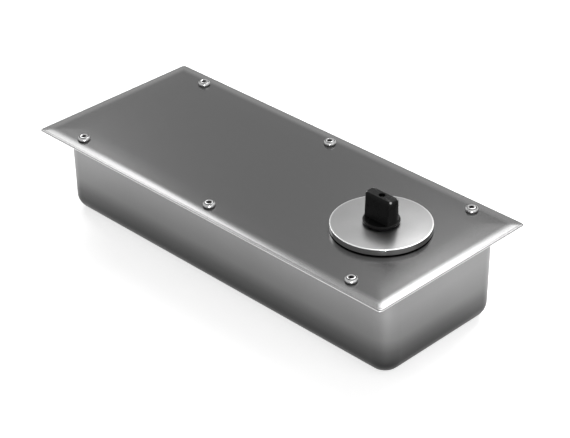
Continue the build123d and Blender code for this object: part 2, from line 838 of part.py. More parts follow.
def spur_outline(teeth, tip, root, thickness, first=0.0):
    """A toothed outline: each tooth's flank has three points."""
    points = []
    radii = [root, (root + tip) / 2, tip]
    for k in range(teeth):
        middle = radians(first) + 2 * pi * k / teeth
        halves = [spur_half_angle(r, teeth, thickness) for r in radii]
        for r, h in zip(radii, halves):
            points.append((r * cos(middle - h), r * sin(middle - h)))
        for r, h in reversed(list(zip(radii, halves))):
            points.append((r * cos(middle + h), r * sin(middle + h)))
    return make_face(Polyline(*points, close=True))


def spur_gear(teeth, low, high, bore, first=0.0):
    pitch = planet_module * teeth / 2
    thickness = planet_module * pi / 2 - tooth_play
    outline = spur_outline(teeth, pitch + gear_addendum, pitch - gear_dedendum, thickness, first)
    return Pos(0, 0, low) * extrude(outline - Circle(bore), high - low)


def planet(angle, low, high):
    """A planet with a tooth gap facing the sun, on its pin."""
    turn = angle + 180 / planet_teeth
    gear = spur_gear(planet_teeth, low, high, pin_radius + running, turn)
    x = planet_orbit * cos(radians(angle))
    y = planet_orbit * sin(radians(angle))
    return drive * (Pos(x, y, 0) * gear)


def carrier(start, pin_end, bore):
    """A carrier plate with its planet pins."""
    plate = extrude(Circle(carrier_radius), carrier_thickness)
    plate = Pos(0, 0, start) * plate
    for x, y in orbit_places(60):
        plate -= Pos(x, y, 0) * rod(3.5, start, start + carrier_thickness)
    collar_end = start + carrier_thickness + stage_gap - 0.1
    for x, y in orbit_places(0):
        plate += Pos(x, y, 0) * rod(pin_radius, start, pin_end)
        plate += Pos(x, y, 0) * rod(pin_radius + 1.2, start + carrier_thickness, collar_end)
    if bore:
        plate -= rod(bore, start, start + carrier_thickness)
    return plate


def orbit_places(first):
    spots = []
    for k in range(planet_count):
        angle = radians(first + 360 * k / planet_count)
        spots.append((planet_orbit * cos(angle), planet_orbit * sin(angle)))
    return spots


def carrier_2():
    """The slow carrier, on the flatted end of the pinion shaft."""
    plate = carrier(carrier_2_start, planet_2_end, pinion_end_radius)
    return drive * (plate + (shaft_flat() & rod(pinion_end_radius + 1, carrier_2_start, carrier_2_end)))


def carrier_1():
    """The fast carrier, with a stub that the second sun sits on."""
    plate = carrier(carrier_1_start, planet_1_end, 0)
    return drive * (plate + rod(sun_stub, planet_2_start + 1, carrier_1_start))


def sun_gear_2():
    return drive * spur_gear(sun_teeth, planet_2_start + 0.5, carrier_1_start, sun_stub)


def sun_gear_1():
    return drive * spur_gear(sun_teeth, planet_1_start + 0.5, planet_1_end + 1, rotor_shaft_radius)


def gearhead_housing():
    """The gearhead's tube, with the ring gear's teeth cut inside it."""
    ring_pitch = planet_module * ring_teeth / 2
    gap_width = planet_module * pi / 2 + tooth_play
    teeth_low = planet_2_start - 1
    body = rod(gearhead_radius, gearhead_start, gearhead_end)
    body += rod(pinion_bearing_outer(), bearing_end, gearhead_start)
    body -= rod(pinion_bearing_outer() - 3, bearing_end, carrier_2_start)
    body -= rod(carrier_radius + 2.5, gearhead_start + gearhead_wall, teeth_low)
    outer = ring_pitch + gear_dedendum
    spaces = spur_outline(ring_teeth, outer, ring_pitch - ring_addendum, gap_width, 180 / ring_teeth)
    body -= Pos(0, 0, teeth_low) * extrude(spaces, gearhead_end - teeth_low)
    for spot in gearhead_screw_spots():
        body -= spot * rod(gearhead_screw_radius + 0.2, gearhead_start, gearhead_end)
    return drive * body


def gearhead_screws():
    """Four long screws through front cap and gearhead into the gearcase."""
    head = rod(3.5, motor_start - 4, motor_start)
    head -= Pos(0, 0, motor_start - 2.4) * extrude(RegularPolygon(1.5, 6, major_radius=False), 2.4)
    screw = head + rod(gearhead_screw_radius, neck_end - 5.5, motor_start - 4)
    return group([drive * (spot * screw) for spot in gearhead_screw_spots()])


# Motor


def motor_front_cap():
    cap = rod(gearhead_radius, gearhead_end, motor_start)
    inner = motor_radius - motor_wall
    cap += tube(inner, inner - 4, motor_start, motor_start + cap_spigot)
    cap -= rod(bush_radius, gearhead_end, motor_start)
    for spot in gearhead_screw_spots():
        cap -= spot * rod(gearhead_screw_radius + 0.2, gearhead_end, motor_start)
        cap -= spot * rod(3.7, motor_start - 4, motor_start + cap_spigot)
    return drive * cap


def motor_can():
    return drive * tube(motor_radius, motor_radius - motor_wall, motor_start, motor_end)


def motor_end_cap():
    inner = motor_radius - motor_wall
    cap = rod(motor_radius, motor_end, sensor_start)
    cap += tube(inner, inner - 4, motor_end - cap_spigot, motor_end)
    cap -= rod(bush_radius, motor_end, sensor_start)
    post = rod(1.6, sensor_start, sensor_start + board_post)
    for spot in board_posts():
        cap += spot * post
    return drive * cap


def board_posts():
    return [Rot(0, 0, 60 + 120 * k) * Pos(board_post_circle, 0, 0) for k in range(3)]


def motor_bushes():
    """Sintered bushes in both end caps."""
    bore = rotor_shaft_radius + running
    front = tube(bush_radius, bore, motor_start - bush_length, motor_start)
    back = tube(bush_radius, bore, motor_end, motor_end + bush_length)
    return group([drive * front, drive * back])


def bore_of_stator():
    return rotor_core_radius + magnet_thickness + air_gap


def stator_core():
    """The laminated stack, with a pole shoe on each tooth."""
    outer = motor_radius - motor_wall
    bore = bore_of_stator()
    yoke = Circle(outer) - Circle(outer - stator_yoke)
    shoe_span = 360 / stator_slots - 9
    outline = yoke
    for k in range(stator_slots):
        turn = Rot(0, 0, 360 * k / stator_slots)
        middle = (bore + 0.5 + outer - stator_yoke / 2) / 2
        outline += turn * Pos(middle, 0) * Rectangle(outer - stator_yoke / 2 - bore - 0.5, stator_tooth)
        outline += turn * pole_shoe(bore, shoe_span)
    return drive * (Pos(0, 0, stack_start) * extrude(outline, stack_length))


def pole_shoe(bore, span):
    half = radians(span / 2)
    far = bore + pole_height
    lower = (bore * cos(half), -bore * sin(half))
    upper = (bore * cos(half), bore * sin(half))
    far_upper = (far * cos(half), far * sin(half))
    far_lower = (far * cos(half), -far * sin(half))
    return make_face([
        ThreePointArc(lower, (bore, 0), upper),
        Line(upper, far_upper),
        ThreePointArc(far_upper, (far, 0), far_lower),
        Line(far_lower, lower),
    ])


def stator_coils():
    """One winding round each stator tooth."""
    low = bore_of_stator() + pole_height + 0.4
    width = stator_tooth + 2 * coil_thickness
    slot_floor = motor_radius - motor_wall - stator_yoke
    high = sqrt(slot_floor**2 - (width / 2) ** 2) - 0.3
    length = stack_length + 2 * coil_overhang
    middle = Pos((low + high) / 2, 0, (stack_start + stack_end) / 2)
    coil = Box(high - low, width, length) - Box(high - low, stator_tooth + 0.1, stack_length + 0.1)
    return group([drive * shape for shape in ring_of(middle * coil, stator_slots)])


def rotor_shaft():
    low = planet_1_start + 0.5
    high = sensor_start + 1.5
    return drive * turned([
        (0, low), (rotor_shaft_radius, low), (rotor_shaft_radius, high - 0.5),
        (rotor_shaft_radius - 0.5, high), (0, high),
    ])


def rotor_core():
    return drive * tube(rotor_core_radius, rotor_shaft_radius, stack_start, stack_end)


def rotor_magnets():
    """Curved magnets bonded round the core."""
    outer = rotor_core_radius + magnet_thickness
    half = radians(360 / magnet_count / 2 - 2)
    low, high = rotor_core_radius, outer
    corners = [(r * cos(half), s * r * sin(half)) for r, s in ((low, -1), (high, -1), (high, 1), (low, 1))]
    face = make_face([
        Line(corners[0], corners[1]),
        ThreePointArc(corners[1], (high, 0), corners[2]),
        Line(corners[2], corners[3]),
        ThreePointArc(corners[3], (low, 0), corners[0]),
    ])
    magnet = Pos(0, 0, stack_start) * extrude(face, stack_length)
    return group([drive * shape for shape in ring_of(magnet, magnet_count)])


def sensor_board():
    top = sensor_start + board_post + board_thickness
    board = rod(board_radius, sensor_start + board_post, top)
    chip = Pos(0, 0, top + 0.6) * Box(6, 6, 1.2)
    plug = Pos(-10, 0, top + 2) * Box(5, 12, 4)
    return drive * (board + chip + plug)


def sensor_cover():
    """The cup over the sensor, with a hole for the motor lead."""
    wall = 2.0
    cup = turned([
        (0, sensor_start), (sensor_radius, sensor_start), (sensor_radius, sensor_end - 1),
        (sensor_radius - 1, sensor_end), (0, sensor_end),
    ])
    cup -= rod(sensor_radius - wall, sensor_start, sensor_end - wall)
    return drive * (cup - rod(lead_radius + seating, sensor_end - wall, sensor_end))


def motor_lead():
    """The short lead, held in the sensor cover and in the junction box."""
    return drive * rod(lead_radius, sensor_end - 2, junction_start + junction_wall)


def motor_cradle():
    """The saddle that holds the motor's far end up."""
    block = Box(cradle_length, 2 * motor_radius, cradle_height)
    block = Pos(-cradle_place, 0, plate_top_of_drive + cradle_height / 2) * block
    block -= drive * rod(motor_radius, cradle_place - cradle_length, cradle_place + cradle_length)
    for x, y in unit_screw_places()[4:]:
        block -= Pos(x, y, 0) * rod(unit_screw_radius + seating, plate_top_of_drive, plate_top_of_drive + 6)
    return block


# Junction box and cable gland


def junction_box():
    """An open plastic tray for the terminals."""
    outer = extrude(junction_outline(0), junction_height)
    inner = extrude(junction_outline(junction_wall), junction_height)
    shell = outer - Pos(0, 0, junction_wall) * inner
    shell = Pos(-junction_start - junction_length / 2, 0, plate_top_of_drive) * shell
    shell -= drive * rod(lead_radius + seating, junction_start, junction_start + junction_wall)
    return shell - drive * rod(gland_bore + 1.5, junction_end - junction_wall, junction_end)


def junction_outline(inset):
    """The tray's outline, drawn in by an inset."""
    return RectangleRounded(junction_length - 2 * inset, junction_width - 2 * inset, max(4 - inset, 0.5))


def junction_lid():
    lid = extrude(junction_outline(0), lid_thickness)
    lid = chamfer(lid.faces().sort_by(Axis.Z)[-1].edges(), 1)
    lip = junction_outline(junction_wall + 0.2) - junction_outline(2 * junction_wall)
    lid += Pos(0, 0, -3) * extrude(lip, 3)
    return Pos(-junction_start - junction_length / 2, 0, plate_top_of_drive + junction_height) * lid


def terminal_block():
    """A row of screw terminals on the junction box's floor."""
    base = plate_top_of_drive + junction_wall
    width = terminal_count * terminal_pitch
    block = Pos(0, 0, terminal_height / 2) * Box(terminal_depth, width, terminal_height)
    ridge_middle = terminal_height + terminal_ridge / 2
    block += Pos(0, 0, ridge_middle) * Box(0.55 * terminal_depth, width, terminal_ridge)
    for k in range(terminal_count):
        y = (k - (terminal_count - 1) / 2) * terminal_pitch
        block -= Pos(0, y, terminal_height) * rod(terminal_pitch / 4, 0, terminal_ridge)
        for side in (-1, 1):
            block -= Pos(side * (terminal_depth / 2 - 1), y, 5) * Box(4, 5, 5)
    return Pos(-junction_start - junction_length / 2, 0, base) * block


def gland_frame():
    """The gland's own frame: z = 0 on the box's pad, pointing out of the box."""
    return Plane(origin=(-box_far - pad_rise, 0, axis_z), z_dir=(-1, 0, 0))


def gland_body():
    """The outer part of the gland, with its threaded neck through the box wall."""
    neck = -box_wall - 2 * pad_rise - gland_grip
    body = extrude(RegularPolygon(gland_hex / 2, 6, major_radius=False), gland_nut_height)
    body += turned([
        (0, gland_nut_height), (gland_cap_radius, gland_nut_height), (gland_cap_radius, gland_length - 4),
        (gland_cap_mouth, gland_length), (0, gland_length),
    ])
    body += rod(gland_thread, neck, 0)
    return gland_frame() * (body - rod(gland_bore, neck, gland_length))


def gland_nut():
    high = -box_wall - 2 * pad_rise
    low = high - gland_nut_height
    nut = Pos(0, 0, low) * extrude(RegularPolygon(gland_hex / 2, 6, major_radius=False), gland_nut_height)
    return gland_frame() * (nut - rod(gland_thread + seating, low, high))


def pinion_bearings():
    """Outer and inner halves of the two bearings side by side in the neck."""
    pairs = [sealed_bearing(bearing_start), sealed_bearing(bearing_start + pinion_bearing_width)]
    outers = group([drive * outer for outer, inner in pairs])
    inners = group([drive * inner for outer, inner in pairs])
    return outers, inners


def all_parts():
    """Every node by name."""
    upper_outer, upper_inner, upper_rollers = roller_bearing(shaft_radius, upper_bearing_bottom)
    lower_outer, lower_inner, lower_rollers = roller_bearing(journal_radius, case_inside)
    pinion_outers, pinion_inners = pinion_bearings()
    parts = {
        "floor_box": floor_box(),
        "box_gasket": box_gasket(),
        "cover_plate": cover_plate(),
        "cover_screws": cover_screws(),
        "drive_plate": drive_plate(),
        "drive_plate_screws": drive_plate_screws(),
        "unit_screws": unit_screws(),
        "gearcase_body": gearcase_body(),
        "gearcase_cover": gearcase_cover(),
        "gearcase_screws": gearcase_screws(),
        "shaft_seal": shaft_seal(),
        "upper_bearing_outer": upper_outer,
        "upper_bearing_inner": upper_inner,
        "upper_bearing_rollers": upper_rollers,
        "lower_bearing_outer": lower_outer,
        "lower_bearing_inner": lower_inner,
        "lower_bearing_rollers": lower_rollers,
        "stop_buffers": stop_buffers(),
        "stop_arm": stop_arm(),
        "output_shaft": output_shaft(),
        "shaft_keys": shaft_keys(),
        "dust_disc": dust_disc(),
        "disc_seal": disc_seal(),
        "spindle_insert": spindle_insert(),
        "spindle_screw": spindle_screw(),
        "bevel_wheel": bevel_wheel(),
        "bevel_pinion": bevel_pinion(),
        "pinion_bearing_outers": pinion_outers,
        "pinion_bearing_inners": pinion_inners,
        "carrier_2": carrier_2(),
        "carrier_1": carrier_1(),
        "sun_gear_2": sun_gear_2(),
        "sun_gear_1": sun_gear_1(),
        "gearhead_housing": gearhead_housing(),
        "gearhead_screws": gearhead_screws(),
        "motor_front_cap": motor_front_cap(),
        "motor_can": motor_can(),
        "motor_end_cap": motor_end_cap(),
        "motor_bushes": motor_bushes(),
        "stator_core": stator_core(),
        "stator_coils": stator_coils(),
        "rotor_shaft": rotor_shaft(),
        "rotor_core": rotor_core(),
        "rotor_magnets": rotor_magnets(),
        "sensor_board": sensor_board(),
        "sensor_cover": sensor_cover(),
        "motor_lead": motor_lead(),
        "motor_cradle": motor_cradle(),
        "junction_box": junction_box(),
        "junction_lid": junction_lid(),
        "terminal_block": terminal_block(),
        "gland_body": gland_body(),
        "gland_nut": gland_nut(),
    }
    for k in range(planet_count):
        angle = 360 * k / planet_count
        parts[f"planet_2_{k + 1}"] = planet(angle, planet_2_start, planet_2_end)
        parts[f"planet_1_{k + 1}"] = planet(angle, planet_1_start, planet_1_end)
    return parts


os.makedirs("parts", exist_ok=True)
for name, shape in all_parts().items():
    export_step(shape, f"parts/{name}.step")
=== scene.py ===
import json
import math
import bmesh
import bpy
import numpy as np
from mathutils import Matrix, Vector


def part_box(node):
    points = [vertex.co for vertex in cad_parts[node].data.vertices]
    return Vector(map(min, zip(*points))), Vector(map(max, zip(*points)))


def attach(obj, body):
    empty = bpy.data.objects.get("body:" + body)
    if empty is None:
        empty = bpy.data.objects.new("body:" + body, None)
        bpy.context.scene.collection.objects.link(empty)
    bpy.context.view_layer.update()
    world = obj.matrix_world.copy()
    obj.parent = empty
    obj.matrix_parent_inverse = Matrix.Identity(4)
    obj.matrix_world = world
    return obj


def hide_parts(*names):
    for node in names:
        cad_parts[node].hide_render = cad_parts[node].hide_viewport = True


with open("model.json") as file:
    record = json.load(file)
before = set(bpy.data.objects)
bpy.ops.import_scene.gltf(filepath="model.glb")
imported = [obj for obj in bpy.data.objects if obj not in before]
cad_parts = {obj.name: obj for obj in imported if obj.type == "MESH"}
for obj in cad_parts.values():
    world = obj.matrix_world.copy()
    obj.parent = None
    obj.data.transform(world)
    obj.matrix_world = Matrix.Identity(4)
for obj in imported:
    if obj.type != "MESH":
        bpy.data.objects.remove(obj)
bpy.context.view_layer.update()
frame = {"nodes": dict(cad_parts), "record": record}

mm = 0.001
nodes = frame["nodes"]


# Floor box: a deep grey-painted steel box that is bedded into the floor. Its rim is turned out
# under the cover plate and its walls draw in slightly towards a bottom with a large round edge.

def rounded_ring(half_x, half_y, radius, z, middle=0.0, per_corner=10, per_side=(1, 1)):
    """A level ring round a rectangle. Each corner is a quarter circle, its centre plus the radius
    times the angle's cosine and sine. Each side between is cut into even steps."""
    turn = np.linspace(0, np.pi / 2, per_corner)
    corners = []
    for quarter in range(4):
        angle = turn + quarter * np.pi / 2
        sign_x = 1 if quarter in (0, 3) else -1
        sign_y = 1 if quarter in (0, 1) else -1
        x = middle + sign_x * (half_x - radius) + radius * np.cos(angle)
        y = sign_y * (half_y - radius) + radius * np.sin(angle)
        corners.append(np.stack([x, y, np.full_like(x, z)], -1))
    ring = []
    for quarter in range(4):
        first = corners[quarter][-1]
        second = corners[(quarter + 1) % 4][0]
        steps = per_side[quarter % 2]
        share = np.arange(1, steps)[:, None] / steps
        ring += [corners[quarter], first + share * (second - first)]
    return np.concatenate(ring)


def round_ring(radius, z, count=96):
    """A level circle about the Z axis: the radius times the angle's cosine and sine."""
    angle = np.linspace(0, 2 * np.pi, count, endpoint=False)
    return np.stack([radius * np.cos(angle), radius * np.sin(angle), np.full_like(angle, z)], -1)


def even_ring(sides, apothem, z, count=96):
    """A level polygon about the Z axis, with as many points as a circle. A point's distance is
    the apothem over the cosine of its angle from the middle of its side."""
    angle = np.linspace(0, 2 * np.pi, count, endpoint=False)
    wedge = 2 * np.pi / sides
    local = (angle + wedge / 2) % wedge - wedge / 2
    radius = apothem / np.cos(local)
    return np.stack([radius * np.cos(angle), radius * np.sin(angle), np.full_like(angle, z)], -1)


def skin(rings, capped=True):
    """Points and faces of a stack of equal rings: four-sided faces join each ring to the next,
    and where it is capped one face closes each end."""
    rings = np.asarray(rings)
    rows, count = rings.shape[:2]
    row, column = np.meshgrid(np.arange(rows - 1), np.arange(count), indexing="ij")
    after = (column + 1) % count
    quads = np.stack([row * count + column, row * count + after,
                      (row + 1) * count + after, (row + 1) * count + column], -1)
    faces = quads.reshape(-1, 4).tolist()
    if capped:
        faces.append(list(range(count))[::-1])
        faces.append(list(range((rows - 1) * count, rows * count)))
    return rings.reshape(-1, 3), faces


def smooth(mesh):
    """Shades a mesh smoothly, except over its sharp edges."""
    mesh.shade_smooth()
    mesh.set_sharp_from_angle(angle=math.radians(28))


def closed_mesh(name, skins):
    """A mesh from skins in millimetres, its doubled points merged and its faces turned outwards."""
    mesh = bpy.data.meshes.new(name)
    points, faces, start = [], [], 0
    for part_points, part_faces in skins:
        points.append(part_points)
        faces += [[corner + start for corner in face] for face in part_faces]
        start += len(part_points)
    mesh.from_pydata(np.concatenate(points) * mm, [], faces)
    work = bmesh.new()
    work.from_mesh(mesh)
    bmesh.ops.remove_doubles(work, verts=work.verts, dist=1e-7)
    bmesh.ops.recalc_face_normals(work, faces=work.faces)
    work.to_mesh(mesh)
    work.free()
    smooth(mesh)
    return mesh


def piece(name, skins, body, replaced):
    """One mesh piece made of skins, riding on a body in place of the named nodes."""
    mesh = closed_mesh(name, skins)
    item = bpy.data.objects.new(name, mesh)
    bpy.context.scene.collection.objects.link(item)
    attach(item, body)
    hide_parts(*replaced)
    return item


def arc(centre, radius, start, stop, steps):
    """An arc in the profile plane, as (across, up) pairs: the centre plus the radius times the
    cosine and sine of angles in degrees."""
    angle = np.radians(np.linspace(start, stop, steps))
    return [(centre[0] + radius * np.cos(a), centre[1] + radius * np.sin(a)) for a in angle]


plate_low, plate_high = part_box("cover_plate")
plate_half = ((plate_high[0] - plate_low[0]) / 2 / mm, (plate_high[1] - plate_low[1]) / 2 / mm)
middle_x = (plate_high[0] + plate_low[0]) / 2 / mm

box_half = (185.0, 64.0)
box_corner = 16.5
rim_inset = 7.5
box_wall = 4.0
box_floor = 5.0
bottom_round = 14.0
draft = math.tan(math.radians(0.63))
box_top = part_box("floor_box")[1][2] / mm
box_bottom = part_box("floor_box")[0][2] / mm
rim_half = (plate_half[0] - rim_inset, plate_half[1] - rim_inset)
rim_thickness = 4.0
rim_bottom = box_top - rim_thickness


def wall_ring(inset, z):
    """A ring of the box's wall: the outline drawn in by an inset and by the draft's share of depth."""
    drawn = inset + draft * (box_top - z)
    radius = max(box_corner - drawn, 1.0)
    return rounded_ring(box_half[0] - drawn, box_half[1] - drawn, radius, z, middle_x)


box_rings = []
inner_round = bottom_round - box_wall
for across, up in arc((0, box_bottom + box_floor + inner_round), inner_round, 270, 360, 8):
    box_rings.append(wall_ring(bottom_round - across, up))
box_rings.append(wall_ring(box_wall, box_top))
box_rings.append(rounded_ring(*rim_half, box_corner, box_top, middle_x))
box_rings.append(rounded_ring(*rim_half, box_corner, rim_bottom, middle_x))
box_rings.append(wall_ring(0, rim_bottom))
for across, up in arc((0, box_bottom + bottom_round), bottom_round, 360, 270, 12):
    box_rings.append(wall_ring(bottom_round - across, up))

screw_pitch = 152.5
screw_inset = 14.15
screw_side = plate_half[1] - screw_inset
screw_places = [(middle_x + k * screw_pitch, side * screw_side) for k in (-1, 0, 1) for side in (-1, 1)]
boss_radius = 5.5
boss_depth = 3.0
boss_round = 0.5
boss_bottom = rim_bottom - boss_depth
boss_profile = ((boss_radius, rim_bottom), (boss_radius, boss_bottom + boss_round),
                (boss_radius - boss_round, boss_bottom), (3.0, boss_bottom))
box_skins = [skin(box_rings)]
for x, y in screw_places:
    box_skins.append(skin([round_ring(radius, z, 32) + np.array([x, y, 0]) for radius, z in boss_profile]))

pad_height = 1.0
gland_face = box_half[0] - middle_x + pad_height
gland_level = -39.5


def sideways(rings):
    """Turns rings that are stacked upwards so that they stand out of the box's far end: height
    goes outwards along X, X across the end and Y up it."""
    return [np.stack([-gland_face - ring[:, 2], -ring[:, 0], gland_level + ring[:, 1]], -1)
            for ring in rings]


pad = [round_ring(radius, z, 64) for radius, z in ((12.7, -6.0), (13.0, -5.7), (13.0, -0.3), (12.7, 0.0))]
box_skins.append(skin(sideways(pad)))
floor_box = piece("box_shell", box_skins, "housing", ["floor_box"])


class Value:
    """A number that varies over a surface. Sums and products with it add the Math nodes they need."""

    def __init__(self, finish, socket):
        self.finish = finish
        self.socket = socket

    def maths(self, operation, first, second):
        return self.finish.node("ShaderNodeMath", {"operation": operation}, {0: first, 1: second})

    def __add__(self, other):
        return self.maths("ADD", self, other)

    def __radd__(self, other):
        return self.maths("ADD", other, self)

    def __sub__(self, other):
        return self.maths("SUBTRACT", self, other)

    def __rsub__(self, other):
        return self.maths("SUBTRACT", other, self)

    def __mul__(self, other):
        return self.maths("MULTIPLY", self, other)

    def __rmul__(self, other):
        return self.maths("MULTIPLY", other, self)

    def clamped(self):
        """The number held between 0 and 1."""
        return self.finish.node("ShaderNodeClamp", {}, {"Value": self, "Min": 0.0, "Max": 1.0})

    def size(self):
        """The number without its sign."""
        return self.maths("ABSOLUTE", self, 0.0)

    def part(self, name):
        """Another output of the node that this value comes from."""
        return Value(self.finish, self.socket.node.outputs[name])


class Finish:
    """A material as it is made up: any node by its type, then the shader's own sockets."""

    def __init__(self, name):
        self.material = bpy.data.materials.new(name)
        self.material.use_nodes = True
        self.tree = self.material.node_tree
        self.shader = self.tree.nodes["Principled BSDF"]
        self.place = self.node("ShaderNodeTexCoord").part("Object")

    def node(self, kind, settings=None, inputs=None):
        """Adds a node, sets its settings, fills its sockets and gives back its first output."""
        made = self.tree.nodes.new(kind)
        for key, value in (settings or {}).items():
            setattr(made, key, value)
        self.fill(made, inputs or {})
        return Value(self, made.outputs[0])

    def fill(self, made, inputs):
        """Links values to a node's sockets and sets plain numbers on them."""
        for key, value in inputs.items():
            if isinstance(value, Value):
                self.tree.links.new(value.socket, made.inputs[key])
            else:
                made.inputs[key].default_value = value

    def wear(self, **sockets):
        """Fills the shader's sockets, named with underscores for spaces."""
        self.fill(self.shader, {key.replace("_", " "): value for key, value in sockets.items()})
        return self.material

    def noise(self, scale, detail=3.0, stretch=(1, 1, 1)):
        """Cloudy noise from 0 to 1; scale counts features per metre, stretch multiplies each axis."""
        spot = self.node("ShaderNodeMapping", {}, {"Vector": self.place, "Scale": stretch})
        return self.node("ShaderNodeTexNoise", {}, {"Vector": spot, "Scale": scale, "Detail": detail})

    def mix(self, share, first, second):
        """A colour between two, by a share from 0 to 1."""
        made = self.tree.nodes.new("ShaderNodeMix")
        made.data_type = "RGBA"
        self.fill(made, {"Factor": share, 6: first, 7: second})
        return Value(self, made.outputs[2])

    def shade(self, level):
        """A neutral colour from one level."""
        return self.node("ShaderNodeCombineColor", {}, {"Red": level, "Green": level, "Blue": level})

    def bump(self, height, strength, distance):
        """Small relief from a height between 0 and 1; distance is in metres."""
        return self.node("ShaderNodeBump", {}, {"Height": height, "Strength": strength, "Distance": distance})

    def ramp(self, value, stops):
        """A number read off a straight-line graph through (position, level) stops."""
        made = self.tree.nodes.new("ShaderNodeValToRGB")
        while len(made.color_ramp.elements) < len(stops):
            made.color_ramp.elements.new(0.5)
        for element, (position, level) in zip(made.color_ramp.elements, stops):
            element.position = position
            element.color = (level, level, level, 1)
        self.fill(made, {"Fac": value})
        return Value(self, made.outputs[0])

    def axis(self, name):
        """One coordinate of the surface, in metres."""
        return self.node("ShaderNodeSeparateXYZ", {}, {"Vector": self.place}).part(name)

    def reach(self):
        """Distance from the spindle's axis, in metres."""
        level = self.node("ShaderNodeMapping", {}, {"Vector": self.place, "Scale": (1, 1, 0)})
        return self.node("ShaderNodeVectorMath", {"operation": "LENGTH"}, {0: level}).part("Value")

    def near(self, point, reach):
        """1 at a point in millimetres, falling to 0 at a reach from it."""
        away = self.node("ShaderNodeVectorMath", {"operation": "DISTANCE"},
                         {0: self.place, 1: tuple(value * mm for value in point)}).part("Value")
        return (1.0 - away * (1 / (reach * mm))).clamped()


def coat(item, material):
    """Gives a piece one material."""
    item.data.materials.clear()
    item.data.materials.append(material)


def grey(level):
    return (level, level, level, 1)


box_finish = Finish("box_paint")
cloud = box_finish.noise(22, 4)
grain = box_finish.noise(1500, 2)
# The walls' colour darkens from the rim down to the bottom: painted shade towards the floor.
shade_top = -4.0
shade_height = 76.0
rise = (1.0 + (box_finish.axis("Z") - shade_top * mm) * (1 / (shade_height * mm))).clamped()
tone = box_finish.ramp(rise, (
    (0.0, 0.018), (0.14, 0.03), (0.3, 0.09), (0.45, 0.18), (0.75, 0.25), (1.0, 0.255)))
box_paint = box_finish.wear(
    Base_Color=box_finish.shade(tone * (0.84 + 0.14 * cloud)),
    Roughness=0.34 + 0.08 * cloud,
    Metallic=0.85,
    Normal=box_finish.bump(grain, 0.12, 0.00015),
)
coat(floor_box, box_paint)


# Cover plate: one sheet of brushed stainless, its edge rolled over and turned down all round so
# that the finished floor meets a clean line. Holes take the shaft and six screws.

sheet = 1.5
edge_run = 6.2
edge_drop = 0.9
droop = 0.3
edge_round = 60.0
plate_corner = 3.0
slope = math.degrees(math.atan2(edge_drop, edge_run))
tangent = edge_round * math.tan(math.radians(slope / 2))


def plate_ring(inset, z):
    """The plate's outline drawn in by an inset, with even steps of about 6 mm along its sides."""
    return rounded_ring(plate_half[0] - inset, plate_half[1] - inset, plate_corner, z, middle_x,
                        per_side=(64, 26))


plate_rings = [plate_ring(32, 0.0)]
start = edge_run + tangent
droop_start = 30
for inset in (30, 27, 24, 21, 18, 15):
    share = (droop_start - inset) / (droop_start - start)
    plate_rings.append(plate_ring(inset, -droop * share ** 2))
for across, up in arc((-start, -edge_round), edge_round, 89, 90 - slope, 9):
    plate_rings.append(plate_ring(-across, up - droop))
lip_round = 0.9
for across, up in arc((-lip_round, -edge_drop - 0.55 - droop), lip_round, 90 - slope, 0, 5):
    plate_rings.append(plate_ring(-across, up))
lip_bottom = -edge_drop - droop - 0.65 * sheet
plate_rings.append(plate_ring(0.0, lip_bottom + 0.2))
plate_rings.append(plate_ring(0.2, lip_bottom))
plate_rings.append(plate_ring(sheet, lip_bottom))
plate_rings.append(plate_ring(sheet, -edge_drop - droop - 0.6 * sheet))
plate_rings.append(plate_ring(edge_run + 0.3, -sheet))
cover_plate = piece("cover_sheet", [skin(plate_rings)], "housing", ["cover_plate"])


def drill(item, holes, low, high):
    """Cuts round holes, given as (x, y, radius) in millimetres, straight through a piece."""
    skins = []
    for x, y, radius in holes:
        rings = [round_ring(radius, low, 64), round_ring(radius, high, 64)]
        skins.append(skin([ring + np.array([x, y, 0]) for ring in rings]))
    cutter = bpy.data.objects.new("cutter", closed_mesh("cutter", skins))
    bpy.context.scene.collection.objects.link(cutter)
    boolean = item.modifiers.new("holes", "BOOLEAN")
    boolean.operation = "DIFFERENCE"
    boolean.solver = "EXACT"
    boolean.object = cutter
    graph = bpy.context.evaluated_depsgraph_get()
    cut = bpy.data.meshes.new_from_object(item.evaluated_get(graph))
    item.modifiers.clear()
    smooth(cut)
    item.data = cut
    bpy.data.objects.remove(cutter)


screw_hole = 3.3
shaft_hole = 16.0
drill(cover_plate, [(x, y, screw_hole) for x, y in screw_places] + [(0, 0, shaft_hole)], -8, 3)

plate_finish = Finish("brushed_plate")
streak = plate_finish.noise(9, 5, (6, 700, 700))
cloud = plate_finish.noise(7, 3)
end_gap = plate_half[0] * mm - (plate_finish.axis("X") - middle_x * mm).size()
side_gap = plate_high[1] - plate_finish.axis("Y").size()
inset = plate_finish.node("ShaderNodeMath", {"operation": "MINIMUM"}, {0: side_gap, 1: end_gap})
bend_reach = 10.2
bend_rate = 220
cut_rate = 9000
# The band along the rolled edge is painted lighter than the flat: a painted highlight.
bend_highlight = ((bend_reach * mm - inset) * bend_rate).clamped()
# The turned-down lip is painted lighter still: a painted highlight.
cut_highlight = ((plate_finish.axis("Z") + (edge_drop + droop) * mm) * -cut_rate).clamped()
tone = 0.094 + 0.084 * bend_highlight + 0.4 * cut_highlight
brushed_plate = plate_finish.wear(
    Base_Color=plate_finish.shade(tone * (0.9 + 0.14 * streak + 0.06 * cloud)),
    Roughness=0.18 + 0.08 * streak,
    Metallic=1.0,
    Normal=plate_finish.bump(streak, 0.05, 0.0001),
)
coat(cover_plate, brushed_plate)


# Cover screws: six stainless screws with low round heads and a hexagon socket. They hold the plate
# down on the box's rim.

